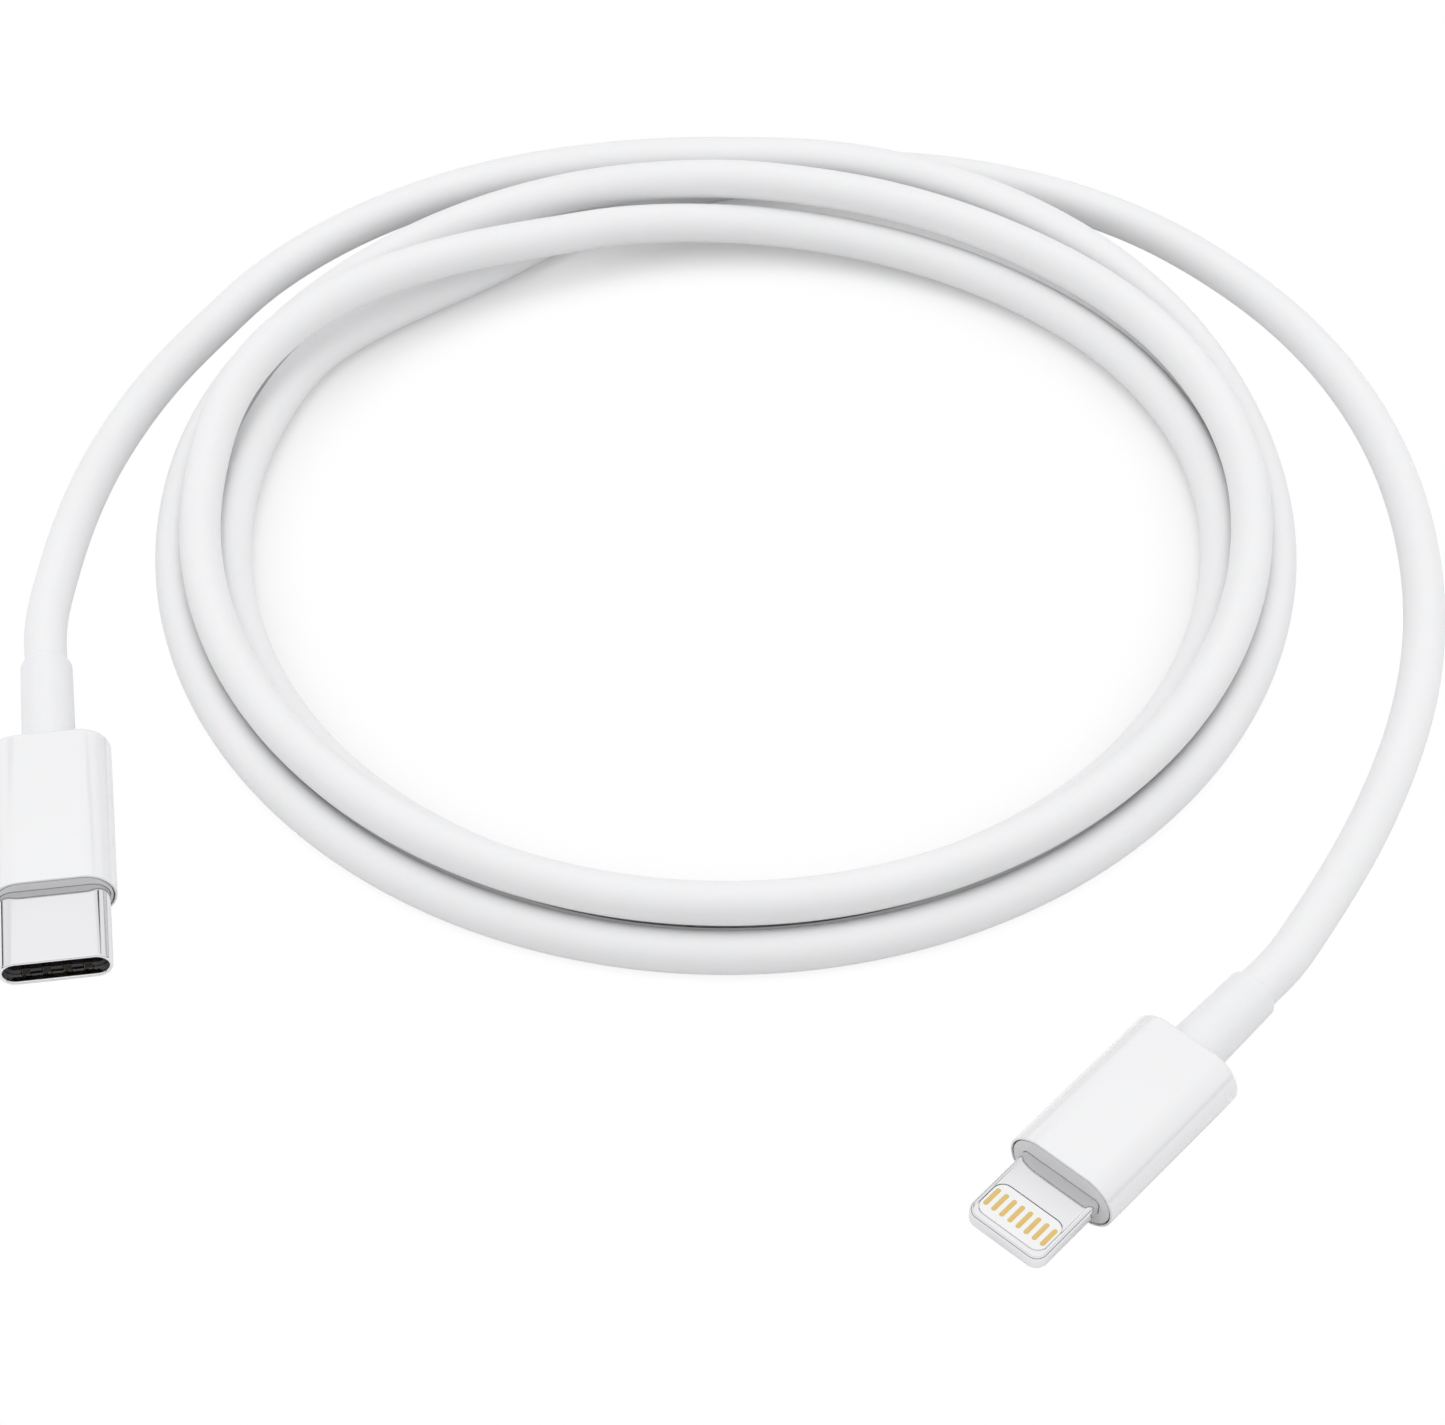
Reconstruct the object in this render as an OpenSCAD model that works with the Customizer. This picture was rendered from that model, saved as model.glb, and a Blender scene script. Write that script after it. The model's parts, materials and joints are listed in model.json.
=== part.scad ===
// Charging cable: an oval plug and a tab plug joined by a soft round cord that lies wound in three turns.
// The resting surface is z = 0. Each plug is drawn along its own +X, with its front face at x = 0,
// its axis at z = 0 and its tongue or shell in front of it, and is then set in its place.

/* [Cord] */
// Outside diameter of the jacket
cord_d = 3.3; // [2.8:0.1:3.4]
// Diameter of the braided core inside the jacket
core_d = 2.3; // [2.0:0.1:2.4]
// Diameter of one insulated wire
wire_d = 0.6; // [0.4:0.05:0.7]

/* [Coil] */
// Radius of the outer lane, to the middle of the cord
coil_r = 44.1; // [42:0.5:48]
// Distance from one lane to the next, seen from above
lane_step = 2.2; // [2.1:0.05:2.4]
// Air between two lanes
turn_gap = 0.46; // [0.46:0.02:0.6]
// How far the turns are drawn in where they cross each other
draw_in = 4.2; // [4.1:0.1:4.6]
// How much less the coil measures across its middle than along it
coil_squeeze = 1.3; // [1:0.1:1.6]

/* [Oval plug] */
// Width of the housing
oval_w = 9.4; // [9.4:0.1:11]
// Height of the housing
oval_h = 4.8; // [4.8:0.1:6]
// Length of the housing
oval_len = 14.6; // [14:0.1:18]
// Width of the metal shell
shell_w = 8.34; // [8.2:0.02:8.34]
// Height of the metal shell
shell_h = 2.56; // [2.5:0.02:2.6]
// Sheet thickness of the metal shell
shell_wall = 0.3; // [0.25:0.01:0.32]
// Length of the shell in front of the housing
shell_out = 6.65; // [6.5:0.05:7]
// Length of the shell inside the housing
shell_in = 5; // [4.5:0.1:5.2]
// Width of the mouth that takes the tongue of a socket
mouth_w = 7; // [6.8:0.05:7]
// Height of the mouth
mouth_h = 1; // [0.9:0.05:1.1]
// How far the mouth reaches back from the front of the insulator
mouth_depth = 4.65; // [4.4:0.05:5]
// Distance from one contact to the next
oval_pitch = 0.5; // [0.48:0.01:0.5]
// Length of the strain relief behind the housing
oval_relief_len = 8.6; // [7:0.1:12]
// Diameter of the strain relief at the housing
oval_relief_d = 4.1; // [4.05:0.05:4.1]
// Thickness of the circuit board
oval_board_t = 0.7; // [0.6:0.05:0.7]

/* [Tab plug] */
// Width of the housing
tab_housing_w = 9.1; // [8.7:0.1:11]
// Height of the housing
tab_housing_h = 5; // [5:0.1:6]
// Length of the housing
tab_housing_len = 14.6; // [14:0.1:18]
// Width of the tab
tab_w = 6.7; // [6.6:0.05:6.8]
// Thickness of the tab
tab_t = 1.5; // [1.45:0.05:1.6]
// Length of the tab in front of the housing
tab_out = 6.6; // [6.4:0.1:7.2]
// Length of the tab frame inside the housing
tab_in = 3.5; // [3:0.1:4]
// Radius of the tab's front corners
tab_corner_r = 1; // [0.8:0.1:1.3]
// Length of the contact window
window_len = 3.1; // [2.9:0.1:3.3]
// Metal left in front of the contact window
window_margin = 0.55; // [0.5:0.05:0.7]
// Distance from one contact to the next
tab_pitch = 0.72; // [0.66:0.01:0.72]
// Width of one contact pad
pad_w = 0.38; // [0.34:0.01:0.42]
// Length of one contact pad
pad_len = 1.75; // [1.6:0.05:1.9]
// Length of the strain relief behind the housing
tab_relief_len = 7.7; // [6:0.1:12]
// Diameter of the strain relief at the housing
tab_relief_d = 4.3; // [4.1:0.05:4.3]
// Thickness of the circuit board
tab_board_t = 0.42; // [0.36:0.02:0.44]

/* [Both plugs] */
// Wall of the housings
wall = 0.45; // [0.4:0.01:0.45]
// Wall of the housings at their back end
rear_wall = 0.8; // [0.7:0.1:1.2]
// Radius of the edge round the housings' back end
rear_edge_r = 0.4; // [0.2:0.05:0.4]
// Bevel of the edge round the housings' front end
front_edge = 0.06; // [0.04:0.01:0.08]
// Thickness of the front plates
plate_t = 0.8; // [0.6:0.1:1]
// Housing wall round a front plate
plate_rim = 0.18; // [0.16:0.01:0.24]
// Diameter of the strain reliefs at their cord end
relief_tip_d = 4; // [3.95:0.05:4.05]
// Radius of the strain reliefs' shoulder at the cord
shoulder_r = 0.3; // [0.2:0.02:0.3]
// Length of braided core in front of the jacket
core_out = 2.6; // [2.4:0.1:3]
// Wall of the crimp ring
crimp_wall = 0.3; // [0.2:0.02:0.34]
// Sheet thickness of the shield cans
can_wall = 0.2; // [0.15:0.01:0.22]
// Running clearance of pieces that slide into each other
fit = 0.05; // [0.03:0.01:0.06]

/* [Hidden] */

// Finishes
jacket_white = [0.92, 0.92, 0.93];
gloss_white = [0.96, 0.96, 0.96];
plate_grey = [0.78, 0.78, 0.79];
steel = [0.80, 0.80, 0.82];
gold = [0.90, 0.74, 0.38];
board_green = [0.10, 0.38, 0.22];

// Places of the plugs on the surface: front face, and the turn of the nose from +X
oval_at = [-41.4, 4.4];
oval_turn = -82.3;
tab_at = [31.6, -20.8];
tab_turn = 228;

// Places along a plug: inside face of the back wall, end of the jacket, end of the braided core
neck_in = 0.6;
function x_cavity(len) = -len + rear_wall;
function x_jacket(len) = x_cavity(len) + neck_in;
function x_core(len) = x_jacket(len) + core_out;
function x_can(len) = x_jacket(len) + 0.5;
crimp_len = 2;
board_setback = 0.5;

// The board's length from the braid to the contacts' tails is shared by the seal, the pads and the chips
tail_len = 1.3;
function sealed(len, tail) = 0.53 * (tail - x_core(len));
function pad_reach(len, tail) = 0.3 * (tail - x_core(len));
function chip_len(len, tail) = 0.32 * (tail - x_core(len));

// Wires: their distance from the middle, the insulation that lies on the board, and the bare end's thickness
wire_lane = 0.45;
insulation_on_board = 0.4;
conductor_share = 0.45;

// ---------------------------------------------------------------- cord
wound_sides = 6;
free_sides = 8;
ring_step = 15;
floor_z = cord_d / 2;
lift = sqrt(pow(cord_d + turn_gap, 2) - pow(lane_step, 2));
hop = cord_d + turn_gap + 0.15;
coil_at = [8.3, 43.5];
coil_from = 150;
coil_to = 45 - 3 * 360;

// A smooth step from 0 to 1 as at goes from a to b, and a blend of two values
function ease(a, b, at) = let (u = min(1, max(0, (at - a) / (b - a)))) u * u * (3 - 2 * u);

// Each pass over the far side of the coil goes from one lane to the next:
// [radius before, in between, after, window, window, height before, in between, after, window, window].
// The first three passes hop over the cord that leaves; the fourth pass is that cord, on the surface.
mid_r = coil_r - lane_step;
inner_r = coil_r - 2 * lane_step;
crossing_r = coil_r - draw_in;
entry_r = coil_r + 4.9;
exit_r = coil_r + 9.9;
PASSES = [
    [entry_r, crossing_r, coil_r, [150, 84], [111, 28], 0, hop, 0, [150, 90], [87, 1]],
    [coil_r, crossing_r - 3.7, mid_r, [171, 75], [101, 1], 0, hop + 0.8, lift, [172, 85], [93, 43]],
    [mid_r, crossing_r - 6.1, inner_r, [170, 111], [102, 1], lift, hop + 0.9, 0, [180, 152], [149, 40]],
    [inner_r, inner_r - draw_in, exit_r, [155, 119], [144, 9], 0, 0, 0, [150, 90], [90, 0]]];
function pass_of(angle) = min(3, max(0, floor((180 - angle) / 360 + 0.0001)));
function staged(p, i, at) = p[i] + (p[i + 1] - p[i]) * ease(p[i + 3][0], p[i + 3][1], at)
    + (p[i + 2] - p[i + 1]) * ease(p[i + 4][0], p[i + 4][1], at);
function coil_point(angle) = let (k = pass_of(angle), p = PASSES[k], at = angle + 360 * k,
    r = staged(p, 0, at), z = floor_z + staged(p, 5, at))
    [coil_at[0] + r * cos(angle), coil_at[1] + r * (1 - coil_squeeze / 2 / coil_r) * sin(angle), z];
function unit(v) = v / norm(v);

// The coil's own points, with a straight run of one diameter at both ends
wound = [for (a = [coil_from : -ring_step : coil_to]) coil_point(a)];
last = len(wound) - 1;
coil_in = wound[0] + cord_d * unit(wound[0] - coil_point(coil_from - 2));
coil_out = wound[last] + cord_d * unit(wound[last] - coil_point(coil_to + 2));
coil_route = concat([coil_in], wound, [coil_out]);

// A point on a plug's axis, x along its nose
function on_axis(at, turn, h, x) = [at[0] + x * cos(turn), at[1] + x * sin(turn), h / 2];
function lead_start(at, turn, h, length, relief) = [for (x = [x_jacket(length), -length - relief,
    -length - relief - cord_d]) on_axis(at, turn, h, x)];

// Free stretches: x, y and the height above the lowest place where the cord can lie
OVAL_ROUTE = [[-44.9, 36.6, 0.3], [-44.3, 42.4, 0.05], [-43, 48.8, 0], [-40.8, 55.4, 0], [-38.3, 60.8, 0]];
TAB_ROUTE = [[50.6, 73.3, 0], [54.7, 68.5, 0], [58, 63.3, 0], [61.1, 56.2, 0], [63, 48.5, 0],
    [63.7, 40.6, 0], [63.3, 32.8, 0], [61.7, 24.8, 0], [58.8, 16.6, 0], [55, 8.7, 0.1], [50.7, 1.3, 0.45]];
function lying(route) = [for (p = route) [p[0], p[1], p[2] + floor_z]];
oval_lead_route = concat(lead_start(oval_at, oval_turn, oval_h, oval_len, oval_relief_len),
    lying(OVAL_ROUTE), [coil_in]);
tab_lead_start = lead_start(tab_at, tab_turn, tab_housing_h, tab_housing_len, tab_relief_len);
tab_lead_route = concat([coil_out], lying(TAB_ROUTE), [for (i = [2, 1, 0]) tab_lead_start[i]]);

// Least air between two turns, measured from each point to every point most of a turn further on
measured = [for (a = [coil_from : -5 : coil_to]) coil_point(a)];
far_on = 48;
least_gap = min([for (i = [0 : len(measured) - 1 - far_on], j = [i + far_on : len(measured) - 1])
    norm(measured[i] - measured[j])]) - cord_d;
function total(v, i = 0) = i < len(v) ? v[i] + total(v, i + 1) : 0;
function route_length(r) = total([for (i = [1 : len(r) - 1]) norm(r[i] - r[i - 1])]);
echo(least_gap = least_gap, cord_length = route_length(oval_lead_route) + route_length(coil_route)
    + route_length(tab_lead_route));

// A tube of the given diameter and sides along a route, its ends square to the route
module tube(route, d, sides) {
    n = len(route);
    points = [for (i = [0 : n - 1]) let (
            ahead = unit(i == 0 ? route[1] - route[0] : i == n - 1 ? route[i] - route[i - 1]
                : unit(route[i + 1] - route[i]) + unit(route[i] - route[i - 1])),
            side = unit(cross(ahead, [0, 0, 1])), up = cross(side, ahead))
        for (k = [0 : sides - 1]) let (a = 360 * k / sides)
            route[i] + d / 2 * (sin(a) * side + cos(a) * up)];
    walls = [for (i = [0 : n - 2], k = [0 : sides - 1]) let (
            a = i * sides + k, b = i * sides + (k + 1) % sides)
        each [[a, a + sides, b], [b, a + sides, b + sides]]];
    ends = [for (k = [1 : sides - 2]) each [[0, k, k + 1],
        [(n - 1) * sides, (n - 1) * sides + k + 1, (n - 1) * sides + k]]];
    polyhedron(points, concat(walls, ends));
}

module cord_lead_oval() { color(jacket_white) tube(oval_lead_route, cord_d, free_sides); }
module cord_coil() { color(jacket_white) tube(coil_route, cord_d, wound_sides); }
module cord_lead_tab() { color(jacket_white) tube(tab_lead_route, cord_d, free_sides); }

// ---------------------------------------------------------------- shapes that both plugs share
module at_oval() { translate([oval_at[0], oval_at[1], oval_h / 2]) rotate(oval_turn) children(); }
module at_tab() { translate([tab_at[0], tab_at[1], tab_housing_h / 2]) rotate(tab_turn) children(); }

// A profile in Y and Z, carried from x0 to x1
module along(x0, x1) { translate([x0, 0, 0]) rotate([90, 0, 90]) linear_extrude(x1 - x0) children(); }
// A profile in X and Z, w wide about y
module across(y, w) { translate([0, y + w / 2, 0]) rotate([90, 0, 0]) linear_extrude(w) children(); }
module block(x, y, z) { translate([x[0], y[0], z[0]]) cube([x[1] - x[0], y[1] - y[0], z[1] - z[0]]); }

// A slot outline with full-round ends
module stadium(w, t, fine = 48) {
    square([w - t, t], center = true);
    for (s = [-1, 1]) translate([s * (w - t) / 2, 0]) circle(d = t, $fn = fine);
}

// A rectangle with round corners
module round_rect(a, b, r) {
    square([a, b - 2 * r], center = true);
    square([a - 2 * r, b], center = true);
    for (s = [-1, 1], t = [-1, 1]) translate([s * (a / 2 - r), t * (b / 2 - r)]) circle(r, $fn = 32);
}

// Half of a housing's outline seen from the side: round at the back, bevelled at the front
module half_outline(len, t) {
    polygon(concat([[-len, 0]],
        [for (a = [0 : 30 : 90]) [-len + rear_edge_r * (1 - cos(a)), t / 2 - rear_edge_r * (1 - sin(a))]],
        [[-front_edge, t / 2], [0, t / 2 - front_edge], [0, 0]]));
}

// The solid outside form: a flat top and bottom and full-round flanks
module outer_form(w, t, len) {
    for (s = [-1, 1]) translate([0, s * (w - t) / 2, 0])
        rotate([0, 90, 0]) rotate_extrude($fn = 64) rotate(90) half_outline(len, t);
    across(0, w - t) {
        half_outline(len, t);
        mirror([0, 1]) half_outline(len, t);
    }
}

function neck_d(t) = t - 2 * wall - 0.1;

// A hollow housing: a cavity, a seat for the front plate and a hole for the strain relief's neck
module housing(w, t, len) {
    color(gloss_white) difference() {
        outer_form(w, t, len);
        along(x_cavity(len), -plate_t / 2) stadium(w - 2 * wall, t - 2 * wall);
        along(-plate_t, 1) stadium(w - 2 * plate_rim, t - 2 * plate_rim);
        along(-len - 1, x_cavity(len) + 0.1) circle(d = neck_d(t) + 0.06, $fn = 48);
    }
}

// A strain relief: a tapered sleeve over the cord and a neck that is glued in the housing's back wall
module strain_relief(t, len, relief_len, base_d) {
    color(gloss_white) rotate([0, 90, 0]) rotate_extrude($fn = 64) rotate(90) polygon(concat(
        [[-len - relief_len, cord_d / 2 + fit]],
        [for (a = [0 : 30 : 90]) [-len - relief_len + shoulder_r * (1 - cos(a)),
            relief_tip_d / 2 - shoulder_r * (1 - sin(a))]],
        [[-len, base_d / 2], [-len, neck_d(t) / 2], [x_jacket(len), neck_d(t) / 2],
            [x_jacket(len), cord_d / 2 + fit]]));
}

// A front plate with the opening that its child gives
module front_plate(w, t) {
    color(plate_grey) difference() {
        along(-plate_t, 0) stadium(w - 2 * plate_rim - 2 * fit, t - 2 * plate_rim - 2 * fit);
        along(-plate_t - 1, 1) children();
    }
}

// The can round the board, open in front, with a hole for the crimp ring
function can_w(w) = w - 2 * wall - 2 * fit;
function can_inside(w) = can_w(w) - 2 * can_wall;
crimp_r = core_d / 2 + crimp_wall;
module shield_can(w, t, len, front) {
    color(steel) difference() {
        along(x_can(len), front) stadium(can_w(w), can_w(t));
        along(x_can(len) + can_wall, front + 1) stadium(can_inside(w), can_inside(t));
        along(x_can(len) - 1, front) circle(crimp_r + fit, $fn = 32);
    }
}

// The plastic that grips the board's back edge and seals the wires
module inner_mould(w, t, len, tail, board_w, board_t) {
    front = x_core(len) + sealed(len, tail);
    wire_room = board_t / 2 + wire_d + 3 * fit;
    color([0.86, 0.85, 0.80]) difference() {
        along(x_can(len) + can_wall + fit, front) stadium(can_inside(w) - 2 * fit, can_inside(t) - 2 * fit);
        along(x_can(len), x_core(len) + fit) circle(crimp_r + fit, $fn = 32);
        block([x_core(len) + board_setback - fit, front + 1], [-board_w / 2 - fit, board_w / 2 + fit],
            [-board_t / 2 - fit, board_t / 2 + fit]);
        block([x_core(len) - fit, x_core(len) + board_setback + pad_reach(len, tail) + fit],
            [-wire_lane - wire_d, wire_lane + wire_d], [-wire_room, wire_room]);
    }
}

module board(w, t, len, front) {
    color(board_green) difference() {
        block([x_core(len) + board_setback, front], [-w / 2, w / 2], [-t / 2, t / 2]);
        for (s = [-1, 1]) translate([front, s * w / 2, -t]) cylinder(r = 0.5, h = 2 * t, $fn = 24);
    }
}

// A chip on top, with two small parts beside it, and a smaller chip below
module chips(w, t, len, tail) {
    back = x_core(len) + sealed(len, tail) + 3 * fit;
    front = back + chip_len(len, tail);
    chip_w = 0.36 * w;
    chip_t = 0.12 * len / 3;
    part_y = chip_w / 2 + 0.1 * w;
    color([0.12, 0.12, 0.13]) {
        block([back, front], [-chip_w / 2, chip_w / 2], [t / 2, t / 2 + chip_t]);
        block([back, (back + 3 * front) / 4], [-chip_w / 3, chip_w / 3], [-t / 2 - chip_t, -t / 2]);
        for (s = [-1, 1]) block([(3 * back + front) / 4, (back + 3 * front) / 4],
            [s * part_y - 0.04 * w, s * part_y + 0.04 * w], [t / 2, t / 2 + chip_t / 2]);
    }
}

// The braid's cut end inside the plug
module core_end(len) {
    color([0.72, 0.50, 0.33]) along(x_jacket(len), x_core(len)) circle(d = core_d, $fn = 32);
}

// A split ring squeezed round the braid, with an ear on each side of the split
module crimp_ring(len) {
    x0 = x_jacket(len) + 0.3;
    slit = 0.3;
    color(steel) difference() {
        along(x0, x0 + crimp_len) circle(crimp_r, $fn = 32);
        along(x0 - 1, x0 + crimp_len + 1) circle(d = core_d, $fn = 32);
        block([x0 - 1, x0 + crimp_len + 1], [-slit / 2, slit / 2], [-2 * crimp_r, 0]);
    }
}

// One wire, from the braid's end to its pad, with a bare end: sy and sz choose its quarter
module wire(len, tail, board_t, sy, sz, tint) {
    insulated = board_setback + insulation_on_board;
    color(tint) translate([x_core(len), sy * wire_lane, sz * (board_t / 2 + wire_d / 2 + fit)])
        rotate([0, 90, 0]) {
            cylinder(d = wire_d, h = insulated, $fn = 24);
            cylinder(d = conductor_share * wire_d, h = board_setback + pad_reach(len, tail), $fn = 16);
        }
}

// A bent strip of sheet: its middle line in X and Z, its thickness and its width
module strip(line, t, w) {
    n = len(line) - 1;
    across(0, w) polygon(concat([for (p = line) [p[0], p[1] + t / 2]],
        [for (i = [n : -1 : 0]) [line[i][0], line[i][1] - t / 2]]));
}

// ---------------------------------------------------------------- oval plug
oval_front = shell_out - 0.8;
insulator_back = -shell_in + 0.2;
oval_tail = insulator_back - tail_len;
mouth_back = oval_front - mouth_depth;
spring_t = 0.15;
oval_contact_w = 0.28;
oval_count = 12;
bore_w = shell_w - 2 * shell_wall - 2 * fit;
bore_h = shell_h - 2 * shell_wall - 2 * fit;
beam_z = bore_h / 2 - 0.21;
tip_z = mouth_h / 2 - 0.08;
oval_board_w = can_inside(oval_w) - 1.2;
latch_t = 0.16;
latch_h = 0.7;
latch_y = mouth_w / 2;
latch_room = 3.05;
plate_z = bore_h / 2 - 0.06;
earth_w = 0.75 * mouth_w;
earth_len = 0.6 * oval_front;
finger_w = 0.08 * mouth_w;
finger_pitch = 0.215 * mouth_w;
earth_t = 0.1;
FINGERS = [for (i = [-1.5 : 1.5]) i * finger_pitch];
function oval_contact_y(i) = (i - (oval_count - 1) / 2) * oval_pitch;

module oval_shell() {
    color(steel) at_oval() along(-shell_in, shell_out) difference() {
        stadium(shell_w, shell_h);
        stadium(shell_w - 2 * shell_wall, shell_h - 2 * shell_wall);
    }
}

// The liner: a mouth for the tongue, a slot for each contact, side pockets and seats for the springs
module oval_insulator() {
    slot_z = oval_board_t / 2 - fit;
    slot_w = oval_contact_w + 0.06;
    color([0.13, 0.13, 0.14]) at_oval() difference() {
        along(insulator_back, oval_front) stadium(bore_w, bore_h);
        along(mouth_back, oval_front + 1) stadium(mouth_w, mouth_h);
        for (i = [0 : oval_count - 1], s = [0, 1]) mirror([0, 0, s])
            block([insulator_back - 1, oval_front - 0.5],
                [oval_contact_y(i) - slot_w / 2, oval_contact_y(i) + slot_w / 2], [slot_z, shell_h]);
        for (s = [0, 1]) mirror([0, s, 0])
            block([insulator_back - 1, oval_front - 0.6], [latch_room, shell_w],
                [-latch_h / 2 - 0.1, latch_h / 2 + 0.1]);
        for (s = [0, 1]) mirror([0, 0, s]) {
            block([oval_front - earth_len - fit, oval_front + 1], [-earth_w / 2 - fit, earth_w / 2 + fit],
                [plate_z - fit, shell_h]);
            for (y = FINGERS) block([oval_front - 0.6, oval_front + 1],
                [y - finger_w / 2 - fit, y + finger_w / 2 + fit], [mouth_h / 2 - 0.1, shell_h]);
        }
    }
}

module oval_contact_row() {
    board_z = oval_board_t / 2 + spring_t / 2;
    color(gold) for (i = [0 : oval_count - 1]) translate([0, oval_contact_y(i), 0])
        strip([[oval_tail, board_z], [insulator_back, board_z], [insulator_back + 0.8, beam_z],
            [mouth_back - 0.2, beam_z], [oval_front - 1.65, tip_z + 0.1], [oval_front - 1.1, tip_z],
            [oval_front - 0.65, tip_z + 0.2]], spring_t, oval_contact_w);
}
module oval_contacts_upper() { at_oval() oval_contact_row(); }
module oval_contacts_lower() { at_oval() mirror([0, 0, 1]) oval_contact_row(); }

// Two leaf springs that hold the plug in its socket
module oval_side_latches() {
    color(steel) at_oval() for (s = [0, 1]) mirror([0, s, 0]) rotate([90, 0, 0]) mirror([0, 0, 1])
        strip([[insulator_back, latch_y], [oval_front / 3, latch_y], [oval_front - 1.65, latch_y - 0.2],
            [oval_front - 0.95, latch_y - 0.46], [oval_front - 0.7, latch_y - 0.28]], latch_t, latch_h);
}

// Two plates with fingers that earth the socket's tongue
module oval_ground_springs() {
    color(steel) at_oval() for (s = [0, 1]) mirror([0, 0, s]) {
        block([oval_front - earth_len, oval_front - 0.5], [-earth_w / 2, earth_w / 2],
            [plate_z + 0.01 - earth_t / 2, plate_z + 0.01 + earth_t / 2]);
        for (y = FINGERS) translate([0, y, 0])
            strip([[oval_front - 0.8, plate_z + 0.01], [oval_front - 0.45, plate_z + 0.01],
                [oval_front - 0.1, mouth_h / 2 + 0.1]], earth_t, finger_w);
    }
}

module oval_front_plate() {
    at_oval() front_plate(oval_w, oval_h) stadium(shell_w + 2 * fit, shell_h + 2 * fit);
}
module oval_board() { at_oval() board(oval_board_w, oval_board_t, oval_len, insulator_back - fit); }
module oval_chips() { at_oval() chips(oval_board_w, oval_board_t, oval_len, oval_tail); }
module oval_wire_red() { at_oval() wire(oval_len, oval_tail, oval_board_t, 1, 1, "red"); }
module oval_wire_white() { at_oval() wire(oval_len, oval_tail, oval_board_t, -1, 1, "white"); }
module oval_wire_green() { at_oval() wire(oval_len, oval_tail, oval_board_t, 1, -1, "green"); }
module oval_wire_black() { at_oval() wire(oval_len, oval_tail, oval_board_t, -1, -1, "black"); }
module oval_shield_can() { at_oval() shield_can(oval_w, oval_h, oval_len, -shell_in); }
module oval_inner_mould() {
    at_oval() inner_mould(oval_w, oval_h, oval_len, oval_tail, oval_board_w, oval_board_t);
}
module oval_core_end() { at_oval() core_end(oval_len); }
module oval_crimp_ring() { at_oval() crimp_ring(oval_len); }
module oval_housing() { at_oval() housing(oval_w, oval_h, oval_len); }
module oval_strain_relief() { at_oval() strain_relief(oval_h, oval_len, oval_relief_len, oval_relief_d); }

// ---------------------------------------------------------------- tab plug
tab_edge_r = 0.4;
ear_w = can_inside(tab_housing_w) + can_wall;
tab_count = 8;
window_w = tab_count * tab_pitch + 0.14;
spine_w = tab_count * tab_pitch - 0.16;
spine_h = 0.7;
spine_room = 0.1;
window_front = tab_out - window_margin;
window_x = window_front - window_len / 2;
window_r = 0.9;
pad_t = 0.14;
pad_top = tab_t / 2 - 0.01;
leg_w = 0.3;
leg_z = tab_board_t / 2;
tab_tail = -tab_in - tail_len;
slack = 0.02;
pad_fine = 12;
tab_board_w = can_inside(tab_housing_w) - 1.4;
function tab_contact_y(i) = (i - (tab_count - 1) / 2) * tab_pitch;

// The metal tab: round nose and edges, a window through both faces and a slot for the contact carrier
module tab_frame() {
    color(steel) at_tab() difference() {
        intersection() {
            union() {
                along(-tab_in, tab_out) round_rect(tab_w, tab_t, tab_edge_r);
                along(-tab_in, -plate_t - 0.3) round_rect(ear_w, tab_t, tab_edge_r);
            }
            translate([0, 0, -tab_t]) linear_extrude(2 * tab_t) {
                translate([-tab_in - 1, -ear_w]) square([tab_in + 1 + tab_out / 2, 2 * ear_w]);
                translate([0, -tab_w / 2]) square([tab_out - tab_corner_r, tab_w]);
                translate([0, -tab_w / 2 + tab_corner_r]) square([tab_out, tab_w - 2 * tab_corner_r]);
                for (s = [-1, 1]) translate([tab_out - tab_corner_r, s * (tab_w / 2 - tab_corner_r)])
                    circle(tab_corner_r, $fn = 48);
            }
            across(0, 2 * ear_w) {
                translate([-tab_in - 1, -tab_t / 2]) square([tab_in + 1 + tab_out - tab_edge_r, tab_t]);
                translate([0, -tab_t / 2 + tab_edge_r]) square([tab_out, tab_t - 2 * tab_edge_r]);
                for (s = [-1, 1]) translate([tab_out - tab_edge_r, s * (tab_t / 2 - tab_edge_r)])
                    circle(tab_edge_r, $fn = 32);
            }
        }
        translate([window_x, 0, -tab_t]) linear_extrude(2 * tab_t) round_rect(window_len, window_w, window_r);
        block([-tab_in - 1, window_x], [-spine_w / 2 - fit, spine_w / 2 + fit],
            [-spine_h / 2 - spine_room, spine_h / 2 + spine_room]);
    }
}

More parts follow.
